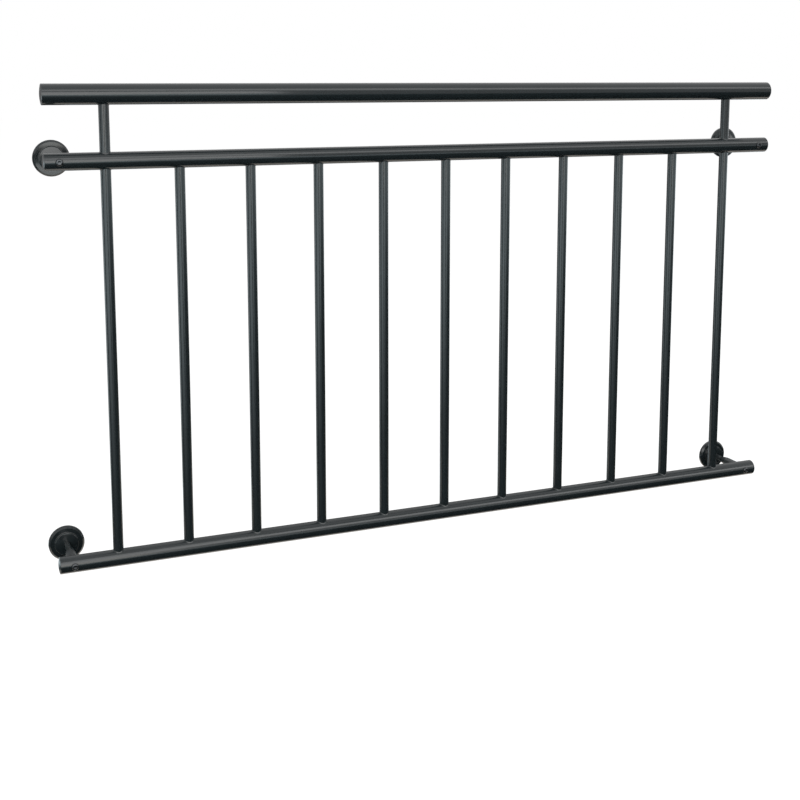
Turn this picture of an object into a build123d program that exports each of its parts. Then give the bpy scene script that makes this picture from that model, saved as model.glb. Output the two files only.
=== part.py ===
from build123d import *
import os

# Juliet balcony railing of round tube, in millimetres: a handrail over a frame of two rails, two posts and a row
# of balusters, carried off the wall by four stand-off brackets behind the rail ends.
# +X runs along the rails to the right as seen from outside, +Y points at the wall and +Z is up.
# The origin is the centre of the lower left wall plate's back face.

# Rails
rail_length = 1560.0        # every rail, over its end caps
rail_diameter = 32.0        # upper and lower rail
rail_wall = 1.5
handrail_diameter = 38.0
handrail_wall = 1.5
rail_spacing = 746.0        # lower rail axis to upper rail axis
handrail_rise = 119.0       # upper rail axis to handrail axis

# Posts and balusters
bar_diameter = 19.0
bar_wall = 1.2
baluster_count = 9          # between the two posts
post_inset = 110.0          # rail end to post axis
bar_insertion = 7.0         # how far a bar's end stands inside the wall of the rail that holds it
socket_clearance = 0.1      # round a bar in its drilled hole

# End caps
cap_rim = 1.5               # straight edge of the visible disc
cap_crown = 2.5             # height of its shallow dome over that edge
cap_edge = 0.8              # rounding between edge and dome
cap_plug = 12.0             # length pushed into the tube
cap_skirt = 2.0             # wall of the hollow plug
cap_lead = 0.8              # chamfer at the plug's mouth
cap_clearance = 0.1         # round the plug in the tube

# Brackets
bracket_inset = 28.0        # rail end to bracket axis
standoff = 115.0            # wall face to rail axis
plate_diameter = 56.0
plate_thickness = 5.0
plate_edge = 0.8            # chamfer round the plate's front
fixing_pcd = 40.0
fixing_count = 3
fixing_diameter = 6.5
fixing_head = 12.0          # countersink for the wall screws
neck_diameter = 12.0        # thin wall end of the stem
neck_reach = 40.0           # wall face to the start of the taper
taper_length = 22.0
stem_diameter = 19.0        # thick rail end of the stem
saddle_clearance = 0.1      # between the stem's hollowed end and the rail
screw_hole = 8.5            # through both walls of the rail
thread_hole = 8.0           # in the stem, for the screw that holds the rail
thread_depth = 25.0

# Cover rosette
rosette_diameter = 68.0
rosette_sheet = 1.5
rosette_rim = 5.0           # straight edge standing on the wall
rosette_bevel = 3.5         # width of the slope inside the edge
rosette_ring = 8.5          # wall face to the flat ring
boss_diameter = 45.0
boss_height = 12.0          # wall face to the edge of the raised boss
boss_crown = 14.0           # wall face to the top of its shallow dome
boss_edge = 1.2             # rounding where ring and boss meet and at the boss's edge
rosette_clearance = 0.2     # round the neck

# Places
rail_y = -standoff
lower_z = 0.0
upper_z = lower_z + rail_spacing
handrail_z = upper_z + handrail_rise
left_end = -bracket_inset
right_end = left_end + rail_length
cap_length = cap_rim + cap_crown
tube_length = rail_length - 2 * cap_length
middle_x = (left_end + right_end) / 2
post_left_x = left_end + post_inset
post_right_x = right_end - post_inset
bar_pitch = (post_right_x - post_left_x) / (baluster_count + 1)
baluster_xs = [post_left_x + bar_pitch * n for n in range(1, baluster_count + 1)]
post_xs = [post_left_x, post_right_x]
bracket_xs = {"left": 0.0, "right": right_end - bracket_inset}
bracket_zs = {"lower": lower_z, "upper": upper_z}

UPWARD = (Align.CENTER, Align.CENTER, Align.MIN)
DOWNWARD = (Align.CENTER, Align.CENTER, Align.MAX)


def tube(diameter, wall, length, align=None):
    """Plain round tube along Z."""
    align = align or (Align.CENTER, Align.CENTER, Align.CENTER)
    return Cylinder(diameter / 2, length, align=align) - Cylinder(diameter / 2 - wall, length, align=align)


def bar_hole(x, z, reach, align):
    """Drill for one bar, from the rail's axis through its wall."""
    return Pos(x, rail_y, z) * Cylinder(bar_diameter / 2 + socket_clearance, reach, align=align)


def rail(diameter, wall, z, holes_above=(), holes_below=(), screw_xs=()):
    """Rail tube along X, drilled from above and below for bars and from front to back for bracket screws."""
    body = Pos(middle_x, rail_y, z) * Rot(0, 90, 0) * tube(diameter, wall, tube_length)
    body -= [bar_hole(x, z, diameter, UPWARD) for x in holes_above]
    body -= [bar_hole(x, z, diameter, DOWNWARD) for x in holes_below]
    body -= [Pos(x, rail_y, z) * Rot(90, 0, 0) * Cylinder(screw_hole / 2, 2 * diameter) for x in screw_xs]
    return body


def socket_depth(diameter, wall):
    """Height off the axis of a rail at which the end of a bar stands inside it."""
    return diameter / 2 - wall - bar_insertion


def bar(x, top):
    """Upright tube from inside the lower rail up to the given height."""
    bottom = lower_z + socket_depth(rail_diameter, rail_wall)
    return Pos(x, rail_y, bottom) * tube(bar_diameter, bar_wall, top - bottom, UPWARD)


def end_cap(diameter, wall):
    """Domed disc that closes a tube, with a hollow plug; the tube's end face is at Z 0 and the disc stands above it."""
    radius = diameter / 2
    plug_radius = radius - wall - cap_clearance
    dome_radius = (radius**2 + cap_crown**2) / (2 * cap_crown)
    side = Polyline((0, 0), (radius, 0), (radius, cap_rim))
    dome = RadiusArc((radius, cap_rim), (0, cap_length), -dome_radius)
    section = make_face(side + dome + Line((0, cap_length), (0, 0)))
    corner = section.vertices().sort_by_distance((radius, cap_rim))[0]
    disc = revolve(Plane.XZ * fillet(corner, cap_edge), Axis.Z)
    plug = Cylinder(plug_radius, cap_plug, align=DOWNWARD)
    plug = chamfer(plug.edges().group_by(Axis.Z)[0], cap_lead)
    return disc + plug - Cylinder(plug_radius - cap_skirt, cap_plug, align=DOWNWARD)


def wall_plate():
    """Round base plate, its back on the wall at Z 0, with countersunk holes for the wall screws."""
    plate = Cylinder(plate_diameter / 2, plate_thickness, align=UPWARD)
    plate = chamfer(plate.edges().group_by(Axis.Z)[-1], plate_edge)
    drill = Pos(0, 0, plate_thickness) * CounterSinkHole(fixing_diameter / 2, fixing_head / 2, plate_thickness)
    return plate - PolarLocations(fixing_pcd / 2, fixing_count, start_angle=90) * drill


def rosette_form(inset):
    """Solid under the rosette's skin, moved in from the outer face by the inset."""
    rim = rosette_diameter / 2 - inset
    boss = boss_diameter / 2 - inset
    ring = rosette_ring - inset
    edge = boss_height - inset
    crown = boss_crown - inset
    dome_radius = (boss**2 + (crown - edge) ** 2) / (2 * (crown - edge))
    foot = Line((0, 0), (rim, 0))
    side = Polyline((rim, 0), (rim, rosette_rim - inset), (rim - rosette_bevel, ring), (boss, ring), (boss, edge))
    dome = RadiusArc((boss, edge), (0, crown), -dome_radius)
    section = make_face(foot + side + dome + Line((0, crown), (0, 0)))
    corners = [v for v in section.vertices() if abs(v.X - boss) < boss_edge]
    return revolve(Plane.XZ * fillet(corners, boss_edge), Axis.Z)


def rosette():
    """Pressed cover over the wall plate: bevelled edge, flat ring and a domed boss round the neck."""
    shell = rosette_form(0) - rosette_form(rosette_sheet)
    return shell - Cylinder(neck_diameter / 2 + rosette_clearance, boss_crown, align=UPWARD)


def stem():
    """Turned stand-off from the wall plate to the rail, hollowed to sit on the rail's back and drilled for a screw."""
    neck, thick = neck_diameter / 2, stem_diameter / 2
    taper_end = neck_reach + taper_length
    section = make_face(Polyline(
        (0, plate_thickness), (neck, plate_thickness), (neck, neck_reach), (thick, taper_end),
        (thick, standoff), (0, standoff), close=True))
    turned = revolve(Plane.XZ * section, Axis.Z)
    saddle = Pos(0, 0, standoff) * Rot(0, 90, 0) * Cylinder(rail_diameter / 2 + saddle_clearance, 2 * stem_diameter)
    thread = Pos(0, 0, standoff - rail_diameter / 2 - thread_depth) * Cylinder(
        thread_hole / 2, thread_depth + rail_diameter, align=UPWARD)
    return turned - saddle - thread


parts = {}

# Rails and their end caps
parts["handrail"] = rail(handrail_diameter, handrail_wall, handrail_z, holes_below=post_xs)
parts["upper_rail"] = rail(
    rail_diameter, rail_wall, upper_z, holes_above=post_xs, holes_below=post_xs + baluster_xs,
    screw_xs=bracket_xs.values())
parts["lower_rail"] = rail(
    rail_diameter, rail_wall, lower_z, holes_above=post_xs + baluster_xs, screw_xs=bracket_xs.values())
for name, diameter, wall, z in (
        ("handrail", handrail_diameter, handrail_wall, handrail_z),
        ("upper_rail", rail_diameter, rail_wall, upper_z),
        ("lower_rail", rail_diameter, rail_wall, lower_z)):
    cap = end_cap(diameter, wall)
    parts[f"{name}_cap_left"] = Pos(left_end + cap_length, rail_y, z) * Rot(0, -90, 0) * cap
    parts[f"{name}_cap_right"] = Pos(right_end - cap_length, rail_y, z) * Rot(0, 90, 0) * cap

# Posts run on through the upper rail to the handrail, balusters stop inside the upper rail
post_top = handrail_z - socket_depth(handrail_diameter, handrail_wall)
baluster_top = upper_z - socket_depth(rail_diameter, rail_wall)
for side, x in zip(("left", "right"), post_xs):
    parts[f"post_{side}"] = bar(x, post_top)
for number, x in enumerate(baluster_xs, start=1):
    parts[f"baluster_{number}"] = bar(x, baluster_top)

# Brackets, turned so that their own Z leads away from the wall
for level, z in bracket_zs.items():
    for side, x in bracket_xs.items():
        place = Pos(x, 0, z) * Rot(90, 0, 0)
        parts[f"wall_plate_{level}_{side}"] = place * wall_plate()
        parts[f"rosette_{level}_{side}"] = place * rosette()
        parts[f"stem_{level}_{side}"] = place * stem()

os.makedirs("parts", exist_ok=True)
for name, piece in parts.items():
    export_step(piece, f"parts/{name}.step")
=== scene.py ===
"""Looks of a wall-mounted juliet balcony railing: coat, screws, weld seams, a studio and the camera.

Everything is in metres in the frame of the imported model: +X along the rails, +Y towards the wall, +Z up,
with the origin on the back of the lower left wall plate.
"""

from __future__ import annotations

import logging
import math
from dataclasses import dataclass
from enum import Enum
from typing import Any

import bmesh
import bpy
from mathutils import Matrix, Vector

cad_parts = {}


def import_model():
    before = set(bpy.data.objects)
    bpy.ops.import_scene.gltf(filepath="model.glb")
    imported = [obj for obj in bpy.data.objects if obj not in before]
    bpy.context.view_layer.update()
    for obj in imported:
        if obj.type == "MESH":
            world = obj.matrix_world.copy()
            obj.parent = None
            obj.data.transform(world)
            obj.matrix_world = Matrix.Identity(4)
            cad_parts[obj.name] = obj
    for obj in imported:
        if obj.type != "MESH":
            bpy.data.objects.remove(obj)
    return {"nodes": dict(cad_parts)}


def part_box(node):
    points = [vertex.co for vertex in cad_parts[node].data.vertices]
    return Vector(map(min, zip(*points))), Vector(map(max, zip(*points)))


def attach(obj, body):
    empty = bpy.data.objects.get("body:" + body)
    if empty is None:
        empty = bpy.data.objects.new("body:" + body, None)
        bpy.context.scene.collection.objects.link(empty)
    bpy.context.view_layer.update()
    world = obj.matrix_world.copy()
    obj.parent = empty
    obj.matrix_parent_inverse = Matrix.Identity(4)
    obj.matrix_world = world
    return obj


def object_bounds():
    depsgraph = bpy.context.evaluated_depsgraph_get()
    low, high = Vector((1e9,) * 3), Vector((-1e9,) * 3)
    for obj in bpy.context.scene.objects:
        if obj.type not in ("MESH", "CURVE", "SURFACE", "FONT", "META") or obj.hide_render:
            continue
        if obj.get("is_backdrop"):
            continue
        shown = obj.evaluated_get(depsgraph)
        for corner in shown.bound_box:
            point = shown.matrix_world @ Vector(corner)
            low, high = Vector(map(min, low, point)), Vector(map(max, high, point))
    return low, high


LOG = logging.getLogger("railing")
MM = 0.001
BODY = "root"
IMAGE_SIDE = 800  # pixels
SENSOR = 36.0  # millimetres
WHITE = "#ffffff"
QUARTER_TURN = math.pi / 2
# edges that turn by more than this stay crisp
SHARP_ANGLE = math.radians(40)
# a noise texture keeps to the middle of its range; these limits spread it over all of a finish's span
NOISE_LOW = 0.3
NOISE_HIGH = 0.7
# sockets of a colour mix, given by their place because those for numbers and vectors have the same names
MIX_FIRST = "6"
MIX_SECOND = "7"
MIX_COLOUR = 2


class Level(Enum):
    """Height of a bracket, and the rail that it carries."""

    LOWER = "lower_rail"
    UPPER = "upper_rail"


class Side(Enum):
    """End of the railing as seen from outside."""

    LEFT = "left"
    RIGHT = "right"


def linear(hex_colour: str) -> tuple[float, float, float, float]:
    """Turn an sRGB hex colour into linear light.

    Args:
        hex_colour: six hex digits, with or without a leading hash.

    Returns:
        Red, green, blue and an alpha of 1.
    """
    digits = hex_colour.lstrip("#")
    values = [int(digits[i:i + 2], 16) / 255 for i in (0, 2, 4)]
    red, green, blue = (v / 12.92 if v <= 0.04045 else ((v + 0.055) / 1.055) ** 2.4 for v in values)
    return red, green, blue, 1.0


def add_node(tree: bpy.types.NodeTree, kind: str, settings: dict[str, Any] | None = None,
             inputs: dict[str, Any] | None = None) -> bpy.types.Node:
    """Add one node, set its properties and fill its inputs.

    Args:
        tree: node tree that takes the node.
        kind: Blender's name of the node type.
        settings: properties of the node itself.
        inputs: name of an input, or its place in digits, to a value or to an output socket to link from.

    Returns:
        The new node.
    """
    node = tree.nodes.new(kind)
    for name, value in (settings or {}).items():
        setattr(node, name, value)
    for name, value in (inputs or {}).items():
        socket = node.inputs[int(name)] if name.isdigit() else node.inputs[name]
        if isinstance(value, bpy.types.NodeSocket):
            tree.links.new(value, socket)
        else:
            socket.default_value = value
    return node


def empty_material(name: str) -> tuple[bpy.types.Material, bpy.types.NodeTree]:
    """Make a material with an empty node tree.

    Args:
        name: name of the finish.

    Returns:
        The material and its tree.
    """
    material = bpy.data.materials.new(name)
    material.use_nodes = True
    material.node_tree.nodes.clear()
    return material, material.node_tree


def mesh_object(name: str, mesh: bmesh.types.BMesh) -> bpy.types.Object:
    """Turn a bmesh into an object of the scene and free the bmesh.

    Args:
        name: name of the piece.
        mesh: geometry in the frame of the model.

    Returns:
        The new object, shaded smooth up to its sharp edges.
    """
    bmesh.ops.recalc_face_normals(mesh, faces=mesh.faces)
    data = bpy.data.meshes.new(name)
    mesh.to_mesh(data)
    mesh.free()
    data.shade_smooth()
    data.set_sharp_from_angle(angle=SHARP_ANGLE)
    piece = bpy.data.objects.new(name, data)
    bpy.context.scene.collection.objects.link(piece)
    return piece


def dress(piece: bpy.types.Object, material: bpy.types.Material) -> None:
    """Give a piece one material in place of those that it has."""
    piece.data.materials.clear()
    piece.data.materials.append(material)


def circle(steps: int) -> list[float]:
    """Angles of points set evenly round a circle, in radians."""
    return [2 * math.pi * i / steps for i in range(steps)]


def bridge(mesh: bmesh.types.BMesh, ring: list[bmesh.types.BMVert],
           following: list[bmesh.types.BMVert]) -> None:
    """Join two closed rings of points by a band of faces.

    Args:
        mesh: bmesh that takes the faces.
        ring: points of the first ring.
        following: points of the second ring, as many and in the same order.
    """
    for i in range(len(ring)):
        j = (i + 1) % len(ring)
        mesh.faces.new((ring[i], ring[j], following[j], following[i]))


def middle(node: str) -> Vector:
    """Middle of a CAD node's box."""
    low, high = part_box(node)
    return (low + high) / 2


def half_size(node: str) -> Vector:
    """Half of each side of a CAD node's box, which across a tube is its radius."""
    low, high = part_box(node)
    return (high - low) / 2


@dataclass(frozen=True)
class PowderCoat:
    """Polyester powder coat, sprayed dry and baked on steel.

    It flows into a closed, semi-gloss film: mirror bands stay readable but soft, the film has a fine
    orange peel, and its gloss and shade drift a little from place to place.
    """

    name: str
    shade: str = "#1d2325"
    shade_thin: str = "#191e20"
    ior: float = 1.5
    gloss_roughness: float = 0.14
    dull_roughness: float = 0.18
    drift_mm: float = 70.0
    peel_mm: float = 3.0
    peel_depth_mm: float = 0.002

    def material(self) -> bpy.types.Material:
        """Build the finish.

        Returns:
            A material that needs no texture coordinates beyond the object's own.
        """
        material, tree = empty_material(self.name)
        place = add_node(tree, "ShaderNodeTexCoord").outputs["Object"]
        drift = add_node(tree, "ShaderNodeTexNoise", {}, {
            "Vector": place, "Scale": 1 / (self.drift_mm * MM), "Detail": 3.0,
            "Roughness": 0.55}).outputs["Fac"]
        shade = add_node(tree, "ShaderNodeMix", {"data_type": "RGBA"}, {
            "Factor": drift, MIX_FIRST: linear(self.shade_thin),
            MIX_SECOND: linear(self.shade)}).outputs[MIX_COLOUR]
        gloss = add_node(tree, "ShaderNodeMapRange", {}, {
            "Value": drift, "From Min": NOISE_LOW, "From Max": NOISE_HIGH,
            "To Min": self.gloss_roughness, "To Max": self.dull_roughness}).outputs["Result"]
        # the peel of a real film is near 1.5 mm across; it is drawn twice as wide so that it shows
        peel = add_node(tree, "ShaderNodeTexNoise", {}, {
            "Vector": place, "Scale": 1 / (self.peel_mm * MM), "Detail": 1.0}).outputs["Fac"]
        relief = add_node(tree, "ShaderNodeBump", {}, {
            "Strength": 1.0, "Distance": self.peel_depth_mm * MM, "Height": peel}).outputs["Normal"]
        film = add_node(tree, "ShaderNodeBsdfPrincipled", {}, {
            "Base Color": shade, "Roughness": gloss, "IOR": self.ior, "Normal": relief})
        add_node(tree, "ShaderNodeOutputMaterial", {}, {"Surface": film.outputs["BSDF"]})
        return material


@dataclass(frozen=True)
class BlackenedSteel:
    """Black-oxide alloy steel of a socket screw.

    The bath leaves a thin, slightly oily film: a dark metal with a bright glint on its dome.
    """

    name: str = "black_oxide_steel_screw"
    shade: str = "#3a3d3f"
    shade_worn: str = "#525456"
    oily_roughness: float = 0.25
    dry_roughness: float = 0.36
    grain_mm: float = 1.2
    grain_depth_mm: float = 0.004

    def material(self) -> bpy.types.Material:
        """Build the finish.

        Returns:
            The screw's material.
        """
        material, tree = empty_material(self.name)
        place = add_node(tree, "ShaderNodeTexCoord").outputs["Object"]
        # the grain of a real oxide film is finer than 0.1 mm; it is drawn as coarse as it needs to show
        grain = add_node(tree, "ShaderNodeTexNoise", {}, {
            "Vector": place, "Scale": 1 / (self.grain_mm * MM), "Detail": 4.0}).outputs["Fac"]
        shade = add_node(tree, "ShaderNodeMix", {"data_type": "RGBA"}, {
            "Factor": grain, MIX_FIRST: linear(self.shade),
            MIX_SECOND: linear(self.shade_worn)}).outputs[MIX_COLOUR]
        gloss = add_node(tree, "ShaderNodeMapRange", {}, {
            "Value": grain, "From Min": NOISE_LOW, "From Max": NOISE_HIGH,
            "To Min": self.oily_roughness, "To Max": self.dry_roughness}).outputs["Result"]
        relief = add_node(tree, "ShaderNodeBump", {}, {
            "Strength": 1.0, "Distance": self.grain_depth_mm * MM, "Height": grain}).outputs["Normal"]
        steel = add_node(tree, "ShaderNodeBsdfPrincipled", {}, {
            "Base Color": shade, "Metallic": 1.0, "Roughness": gloss, "Normal": relief})
        add_node(tree, "ShaderNodeOutputMaterial", {}, {"Surface": steel.outputs["BSDF"]})
        return material


@dataclass
class WeldSeam:
    """Fillet of weld round a bar that stands on a round rail, painted over with the frame's coat.

    The foot is the point where the two axes meet, and out leads along the bar. The bead's face is
    hollow: its two middle points lie at the long share of the leg on one side and the short share on the
    other.
    """

    name: str
    foot: Vector
    out: Vector
    bar_radius: float
    rail_radius: float
    leg: float = 1.2 * MM
    root: float = 0.6 * MM
    face_long: float = 0.45
    face_short: float = 0.3
    ripple: float = 0.06
    ripple_pitch: float = 2.6 * MM
    steps: int = 144

    def outline(self, turn: float) -> list[Vector]:
        """Cross-section of the seam at one place round the bar.

        Args:
            turn: angle round the bar, in radians.

        Returns:
            Points from the bar's wall over the bead to the rail, and the hidden root.
        """
        along = Vector((1.0, 0.0, 0.0))
        across = self.out.cross(along)
        radial = along * math.cos(turn) + across * math.sin(turn)
        off_axis = self.bar_radius * math.sin(turn)
        height = math.sqrt(self.rail_radius**2 - off_axis**2)
        corner = self.foot + radial * self.bar_radius + self.out * height
        down_slope = (radial - self.out * (math.sin(turn) * off_axis / height)).normalized()
        beads = round(2 * math.pi * self.bar_radius / self.ripple_pitch)
        leg = self.leg * (1 + self.ripple * math.sin(turn * beads))
        up, down = self.out * leg, down_slope * leg
        inward, sunk = radial * self.root, self.out * self.root
        return [
            corner + up - inward,
            corner + up,
            corner + up * self.face_long + down * self.face_short,
            corner + up * self.face_short + down * self.face_long,
            corner + down,
            corner + down - sunk,
            corner - inward - sunk,
        ]

    def build(self) -> bpy.types.Object:
        """Sweep the cross-section round the bar.

        Returns:
            A closed ring.
        """
        mesh = bmesh.new()
        rings = [[mesh.verts.new(point) for point in self.outline(turn)] for turn in circle(self.steps)]
        for ring, following in zip(rings, rings[1:] + rings[:1]):
            bridge(mesh, ring, following)
        return mesh_object(self.name, mesh)


@dataclass
class RailScrew:
    """Button-head socket screw that draws a rail onto its stem, with its dome on the rail's front.

    Shares are of the radius or side that they trim, and the drill's slope is half of the socket's width
    over the depth of the cone at its bottom.
    """

    name: str
    seat: Vector
    head_radius: float = 6.8 * MM
    head_height: float = 4.2 * MM
    head_side: float = 0.8 * MM
    head_seat_share: float = 0.97
    head_edge_share: float = 0.4
    socket_width: float = 5.0 * MM
    socket_depth: float = 2.6 * MM
    socket_lead: float = 0.35 * MM
    drill_slope: float = 3.0
    shank_radius: float = 3.9 * MM
    shank_length: float = 46.0 * MM
    tip_share: float = 0.25
    steps: int = 48
    dome_steps: int = 8

    def profile(self) -> list[tuple[float, float]]:
        """Outline of the turned screw from the shank's tip to the rim of the socket.

        Returns:
            Radius and height over the seat, in metres.
        """
        rim = self.socket_width / math.sqrt(3) + self.socket_lead
        chamfer = self.shank_radius * self.tip_share
        points = [
            (self.shank_radius - chamfer, -self.shank_length),
            (self.shank_radius, -self.shank_length + chamfer),
            (self.shank_radius, 0.0),
            (self.head_radius * self.head_seat_share, 0.0),
            (self.head_radius, self.head_side * self.head_edge_share),
        ]
        rise = self.head_height - self.head_side
        for i in range(self.dome_steps + 1):
            share = i / self.dome_steps
            radius = self.head_radius + (rim - self.head_radius) * share
            height = self.head_side + rise * math.sin(QUARTER_TURN * math.sqrt(share))
            points.append((radius, height))
        return points

    def build(self) -> bpy.types.Object:
        """Turn the profile, then sink the hexagon socket into the dome.

        Returns:
            The screw, its shank pointing at the wall.
        """
        mesh = bmesh.new()
        rings: list[list[bmesh.types.BMVert]] = []
        for radius, height in self.profile():
            spots = [(radius * math.cos(turn), radius * math.sin(turn)) for turn in circle(self.steps)]
            rings.append([mesh.verts.new((x, y, height)) for x, y in spots])
        for ring, following in zip(rings, rings[1:]):
            bridge(mesh, ring, following)
        mesh.faces.new(reversed(rings[0]))
        self.sink_socket(mesh, rings[-1])
        stand = Matrix.Translation(self.seat) @ Matrix.Rotation(QUARTER_TURN, 4, "X")
        bmesh.ops.transform(mesh, matrix=stand, verts=mesh.verts)
        return mesh_object(self.name, mesh)

    def sink_socket(self, mesh: bmesh.types.BMesh, mouth: list[bmesh.types.BMVert]) -> None:
        """Close the head with a hexagon hole.

        Args:
            mesh: bmesh of the screw, still standing on Z.
            mouth: ring of points round the top of the dome.
        """
        flat = self.socket_width / 2
        sector = math.pi / 3
        hexagon: list[tuple[float, float]] = []
        for turn in circle(self.steps):
            reach = flat / math.cos((turn + sector / 2) % sector - sector / 2)
            hexagon.append((reach * math.cos(turn), reach * math.sin(turn)))
        top = self.head_height - self.socket_lead
        bottom = self.head_height - self.socket_depth
        upper = [mesh.verts.new((x, y, top)) for x, y in hexagon]
        lower = [mesh.verts.new((x, y, bottom)) for x, y in hexagon]
        tip = mesh.verts.new((0.0, 0.0, bottom - flat / self.drill_slope))
        bridge(mesh, mouth, upper)
        bridge(mesh, upper, lower)
        for point, following in zip(lower, lower[1:] + lower[:1]):
            mesh.faces.new((point, following, tip))


@dataclass
class Tubework:
    """Handrail, rails, posts, balusters and end caps: the welded frame of the railing."""

    nodes: dict[str, bpy.types.Object]
    coat: bpy.types.Material
    cap_coat: bpy.types.Material

    def dress(self) -> None:
        """Coat the tubes and their caps."""
        for name, piece in self.nodes.items():
            if "_cap_" in name:
                dress(piece, self.cap_coat)
            elif name.endswith("rail") or name.startswith(("post", "baluster")):
                dress(piece, self.coat)

    def seam(self, bar: str, rail: str, out: Vector) -> WeldSeam:
        """Seam of one bar on one rail.

        Args:
            bar: node of the upright.
            rail: node of the rail.
            out: direction in which the bar leaves the rail.

        Returns:
            The seam, ready to build.
        """
        axis = middle(rail)
        foot = Vector((middle(bar).x, axis.y, axis.z))
        end = "top" if out.z > 0 else "underside"
        return WeldSeam(f"weld_{bar}_{rail}_{end}", foot, out, half_size(bar).y, half_size(rail).y)

    def seams(self) -> list[WeldSeam]:
        """Every seam between an upright and a rail.

        Returns:
            Seams of the balusters at two rails and of the posts at all three.
        """
        up = Vector((0.0, 0.0, 1.0))
        down = Vector((0.0, 0.0, -1.0))
        posts = sorted(name for name in self.nodes if name.startswith("post"))
        balusters = sorted(name for name in self.nodes if name.startswith("baluster"))
        found: list[WeldSeam] = []
        for bar in posts + balusters:
            found.append(self.seam(bar, "lower_rail", up))
            found.append(self.seam(bar, "upper_rail", down))
        for bar in posts:
            found.append(self.seam(bar, "upper_rail", up))
            found.append(self.seam(bar, "handrail", down))
        return found

    def build(self) -> list[bpy.types.Object]:
        """Make the seams and let them ride on the frame.

        Returns:
            The new pieces.
        """
        pieces: list[bpy.types.Object] = []
        for seam in self.seams():
            piece = seam.build()
            dress(piece, self.coat)
            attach(piece, BODY)
            pieces.append(piece)
        return pieces


@dataclass
class Bracket:
    """One stand-off bracket: wall plate, rosette and stem, with the screw and the seam at the rail.

    The screw's seat is sunk into the rail's round front, so that its head closes on the curve.
    """

    nodes: dict[str, bpy.types.Object]
    level: Level
    side: Side
    coat: bpy.types.Material
    screw_steel: bpy.types.Material
    screw_sink: float = 0.7 * MM

    @property
    def label(self) -> str:
        """Ending of this bracket's node names."""
        return f"{self.level.name.lower()}_{self.side.value}"

    def dress(self) -> None:
        """Coat the three nodes of the bracket."""
        for part in ("wall_plate", "rosette", "stem"):
            dress(self.nodes[f"{part}_{self.label}"], self.coat)

    def build(self) -> list[bpy.types.Object]:
        """Make the rail screw and the seam of the stem.

        Returns:
            The new pieces.
        """
        rail = self.level.value
        stem = f"stem_{self.label}"
        rail_radius = half_size(rail).y
        axis = Vector((middle(stem).x, middle(rail).y, middle(stem).z))
        to_wall = Vector((0.0, 1.0, 0.0))
        seat = axis - to_wall * (rail_radius - self.screw_sink)
        screw = RailScrew(f"rail_screw_{self.label}", seat).build()
        dress(screw, self.screw_steel)
        seam = WeldSeam(f"weld_{stem}", axis, to_wall, half_size(stem).x, rail_radius).build()
        dress(seam, self.coat)
        for piece in (screw, seam):
            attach(piece, BODY)
        return [screw, seam]


@dataclass(frozen=True)
class PhotoCamera:
    """Camera at the photograph's viewing angle, left of the railing and level with its handrail."""

    place_mm: tuple[float, float, float] = (-252.0, -2355.0, 894.0)
    yaw_deg: float = 22.0
    pitch_deg: float = 8.1
    focal_px: float = 1225.0
    shift_y: float = -0.185

    def build(self) -> None:
        """Make the camera and set it as the scene's own."""
        data = bpy.data.cameras.new("photo_camera")
        data.sensor_width = SENSOR
        data.lens = self.focal_px * SENSOR / IMAGE_SIDE
        data.shift_y = self.shift_y
        camera = bpy.data.objects.new("photo_camera", data)
        camera.location = Vector(self.place_mm) * MM
        camera.rotation_euler = (math.radians(90 - self.pitch_deg), 0.0, math.radians(-self.yaw_deg))
        bpy.context.scene.collection.objects.link(camera)
        bpy.context.scene.camera = camera


@dataclass(frozen=True)
class Card:
    """Studio panel: its middle, width, height, brightness where 1 is white, turn about Z and tint."""

    name: str
    middle: tuple[float, float, float]
    width: float
    height: float
    radiance: float
    turn_deg: float = 0.0
    tint: str = WHITE


@dataclass(frozen=True)
class Fade:
    """Edge of the floor flag: the direction across it, its start and end, and how bright it gets."""

    across: tuple[float, float, float]
    start: float
    end: float
    radiance: float


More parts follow.
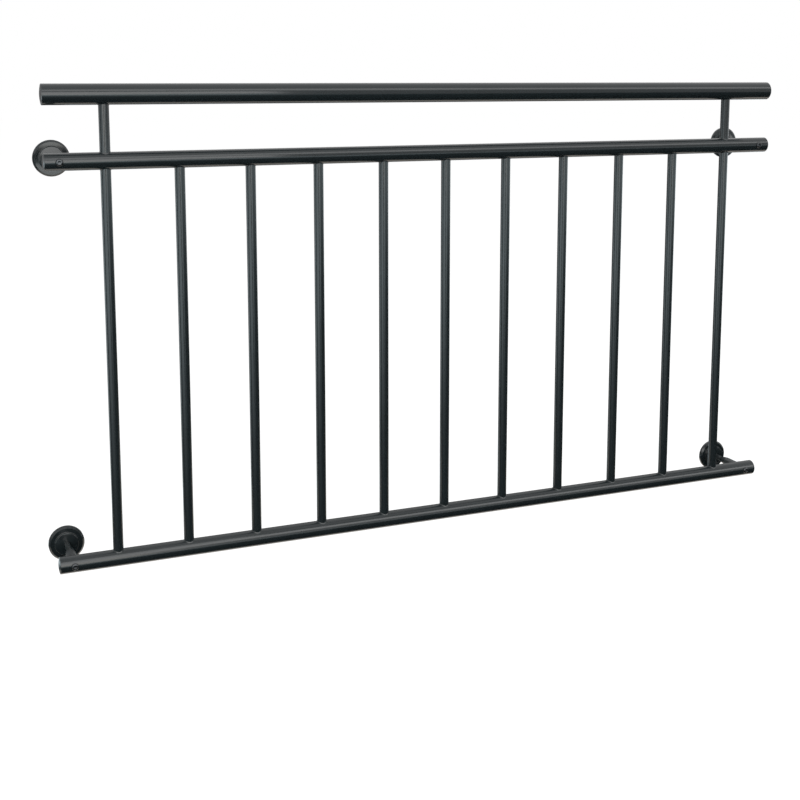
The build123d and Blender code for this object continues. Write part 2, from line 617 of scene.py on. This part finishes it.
@dataclass
class Studio:
    """White studio: a pale floor, a white surround, softboxes, and cards that the tubes mirror as bands.

    A flag is a dark card. The camera sees the floor, and the tubes mirror the flag and the bright card
    that lie just below it.
    """

    target: Vector
    floor_height: float = -0.55
    floor_half: float = 40.0
    flag_drop: float = 0.05
    flag_reach: float = 24.0
    flag_dark: float = 0.005
    flag_tint: str = "#eafaff"
    flag_fades: tuple[Fade, ...] = (
        Fade((-0.86, -0.51, 0.0), 1.8, 4.7, 0.9),
        Fade((-0.67, -0.74, 0.0), 0.9, 6.7, 2.4),
        Fade((0.92, -0.39, 0.0), 6.0, 18.8, 1.8),
        Fade((-0.17, 0.98, 0.0), 1.1, 2.1, 1.95),
    )
    under_card_low: tuple[float, float] = (-1.5, -0.06)
    under_card_high: tuple[float, float] = (3.0, 0.95)
    under_card_lift: float = 0.01
    under_card_radiance: float = 1.4
    under_card_tint: str = "#fff8ef"
    softboxes: tuple[Card, ...] = (
        Card("strip_softbox_above", (1.5, -4.8, 5.25), 12.9, 2.1, 1.75),
        Card("softbox_front_left", (-1.5, -6.0, 1.35), 5.3, 2.25, 2.85, tint="#fffcf5"),
    )
    cards: tuple[Card, ...] = (
        Card("flag_left", (-3.2, -0.1, 0.5), 1.3, 2.2, 0.12, 90.0),
        Card("strip_card_front", (1.15, -2.25, 1.34), 6.7, 0.93, 3.45),
        Card("flag_at_handrail", (1.5, -0.83, 0.98), 1.78, 0.54, 0.62),
        Card("flag_behind", (0.95, 2.0, 0.35), 4.5, 1.9, 0.3),
        Card("flag_at_camera", (-0.5, -3.5, 0.42), 0.9, 1.9, 0.03, -42.0),
    )

    def panel(self, name: str, corners: list[Vector]) -> bpy.types.Object:
        """Flat panel of the stage.

        Args:
            name: name of the panel.
            corners: its four corners, in order.

        Returns:
            The panel, without a material.
        """
        mesh = bmesh.new()
        mesh.faces.new([mesh.verts.new(corner) for corner in corners])
        piece = mesh_object(name, mesh)
        piece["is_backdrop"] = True
        return piece

    def level_panel(self, name: str, low: tuple[float, float], high: tuple[float, float],
                    height: float) -> bpy.types.Object:
        """Level panel of the stage between its lowest and highest X and Y."""
        spots = [(low[0], low[1]), (high[0], low[1]), (high[0], high[1]), (low[0], high[1])]
        return self.panel(name, [Vector((x, y, height)) for x, y in spots])

    def hide_from_camera(self, piece: bpy.types.Object) -> None:
        """Leave a card to the reflections, with no shadow of its own."""
        piece.visible_camera = False
        piece.visible_shadow = False

    def glowing(self, name: str, radiance: float, tint: str) -> bpy.types.Material:
        """Evenly lit cloth of a card.

        Args:
            name: name of the material.
            radiance: how bright it looks, where 1 is white.
            tint: its colour at full brightness.

        Returns:
            The material.
        """
        material, tree = empty_material(name)
        material.cycles.emission_sampling = "NONE"
        glow = add_node(tree, "ShaderNodeEmission", {}, {"Color": linear(tint), "Strength": radiance})
        add_node(tree, "ShaderNodeOutputMaterial", {}, {"Surface": glow.outputs["Emission"]})
        return material

    def build_floor(self) -> None:
        """Lay the white floor that takes the shadow; what the tubes mirror of it is the flag's part."""
        reach = self.floor_half
        floor = self.level_panel("floor", (-reach, -reach), (reach, reach), self.floor_height)
        floor.visible_glossy = False
        floor.visible_diffuse = False
        material, tree = empty_material("matt_white_floor_paint")
        paint = add_node(tree, "ShaderNodeBsdfDiffuse", {}, {"Color": linear(WHITE)})
        add_node(tree, "ShaderNodeOutputMaterial", {}, {"Surface": paint.outputs["BSDF"]})
        dress(floor, material)

    def build_floor_flag(self) -> None:
        """Lay a dark flag under the railing.

        The tubes mirror it as the dark lower half of the rails and the dark feet of the bars. It fades
        to light on its left, behind it and far to its right.
        """
        reach = self.flag_reach
        height = self.floor_height - self.flag_drop
        flag = self.level_panel("floor_flag", (-reach, -reach), (reach, reach), height)
        self.hide_from_camera(flag)
        material, tree = empty_material("black_flag_cloth")
        material.cycles.emission_sampling = "NONE"
        place = add_node(tree, "ShaderNodeTexCoord").outputs["Object"]
        shade: bpy.types.NodeSocket | float = self.flag_dark
        for fade in self.flag_fades:
            along = add_node(tree, "ShaderNodeVectorMath", {"operation": "DOT_PRODUCT"}, {
                "0": place, "1": fade.across}).outputs["Value"]
            edge = add_node(tree, "ShaderNodeMapRange", {"interpolation_type": "SMOOTHSTEP"}, {
                "Value": along, "From Min": fade.start, "From Max": fade.end, "To Min": 0.0,
                "To Max": fade.radiance}).outputs["Result"]
            shade = add_node(tree, "ShaderNodeMath", {"operation": "MAXIMUM"}, {
                "0": shade, "1": edge}).outputs["Value"]
        glow = add_node(tree, "ShaderNodeEmission", {}, {
            "Color": linear(self.flag_tint), "Strength": shade})
        add_node(tree, "ShaderNodeOutputMaterial", {}, {"Surface": glow.outputs["Emission"]})
        dress(flag, material)

    def build_under_card(self) -> None:
        """Lay a bright card under the rails, which they mirror as a light line along their underside."""
        height = self.floor_height - self.flag_drop + self.under_card_lift
        card = self.level_panel("under_card", self.under_card_low, self.under_card_high, height)
        self.hide_from_camera(card)
        dress(card, self.glowing("white_under_card", self.under_card_radiance, self.under_card_tint))

    def build_card(self, card: Card) -> None:
        """Stand up one card, dark or bright, that only the reflections show.

        Args:
            card: its place, size and tone.
        """
        turn = math.radians(card.turn_deg)
        half = Vector((math.cos(turn), math.sin(turn), 0.0)) * (card.width / 2)
        rise = Vector((0.0, 0.0, card.height / 2))
        hub = Vector(card.middle)
        corners = [hub - half - rise, hub + half - rise, hub + half + rise, hub - half + rise]
        piece = self.panel(card.name, corners)
        self.hide_from_camera(piece)
        piece.visible_diffuse = False
        dress(piece, self.glowing(f"{card.name}_cloth", card.radiance, card.tint))

    def build_softbox(self, card: Card) -> None:
        """Hang one softbox that faces the railing.

        A lamp of this energy looks about a fifth dimmer than a card of the same radiance.

        Args:
            card: its place, size, brightness and tint.
        """
        lamp = bpy.data.lights.new(card.name, "AREA")
        lamp.shape = "RECTANGLE"
        lamp.size, lamp.size_y = card.width, card.height
        lamp.color = linear(card.tint)[:3]
        lamp.energy = card.radiance * math.pi * card.width * card.height
        box = bpy.data.objects.new(card.name, lamp)
        box.location = card.middle
        aim = Vector((card.middle[0], self.target.y, self.target.z)) - box.location
        box.rotation_mode = "QUATERNION"
        box.rotation_quaternion = aim.to_track_quat("-Z", "Y")
        box.visible_camera = False
        bpy.context.scene.collection.objects.link(box)

    def build_world(self) -> None:
        """Surround everything with even white, for the camera, for reflections and as light."""
        world = bpy.data.worlds.new("studio")
        bpy.context.scene.world = world
        world.use_nodes = True
        tree = world.node_tree
        tree.nodes.clear()
        light = add_node(tree, "ShaderNodeBackground", {}, {"Color": linear(WHITE), "Strength": 1.0})
        add_node(tree, "ShaderNodeOutputWorld", {}, {"Surface": light.outputs["Background"]})

    def build(self) -> None:
        """Set up the whole studio."""
        self.build_world()
        self.build_floor()
        self.build_floor_flag()
        self.build_under_card()
        for card in self.cards:
            self.build_card(card)
        for card in self.softboxes:
            self.build_softbox(card)
        bpy.context.scene.view_settings.view_transform = "Standard"


def main() -> None:
    """Build the railing's looks, the studio and the camera, and log each piece's finish and face count."""
    logging.basicConfig(level=logging.INFO, format="%(name)s: %(message)s")
    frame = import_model()
    cad_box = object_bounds()
    nodes = frame["nodes"]
    tube_coat = PowderCoat("polyester_powder_coat_on_tube").material()
    cap_coat = PowderCoat("polyester_powder_coat_on_cap", drift_mm=30.0).material()
    bracket_coat = PowderCoat("polyester_powder_coat_on_bracket", drift_mm=40.0).material()
    screw_steel = BlackenedSteel().material()

    tubework = Tubework(nodes, tube_coat, cap_coat)
    tubework.dress()
    pieces = tubework.build()
    for level in Level:
        for side in Side:
            bracket = Bracket(nodes, level, side, bracket_coat, screw_steel)
            bracket.dress()
            pieces += bracket.build()
    for piece in [*nodes.values(), *pieces]:
        LOG.info("%s: %s, %d faces", piece.name, piece.data.materials[0].name, len(piece.data.polygons))

    low, high = cad_box
    Studio((low + high) / 2).build()
    PhotoCamera().build()


if __name__ == "__main__":
    main()
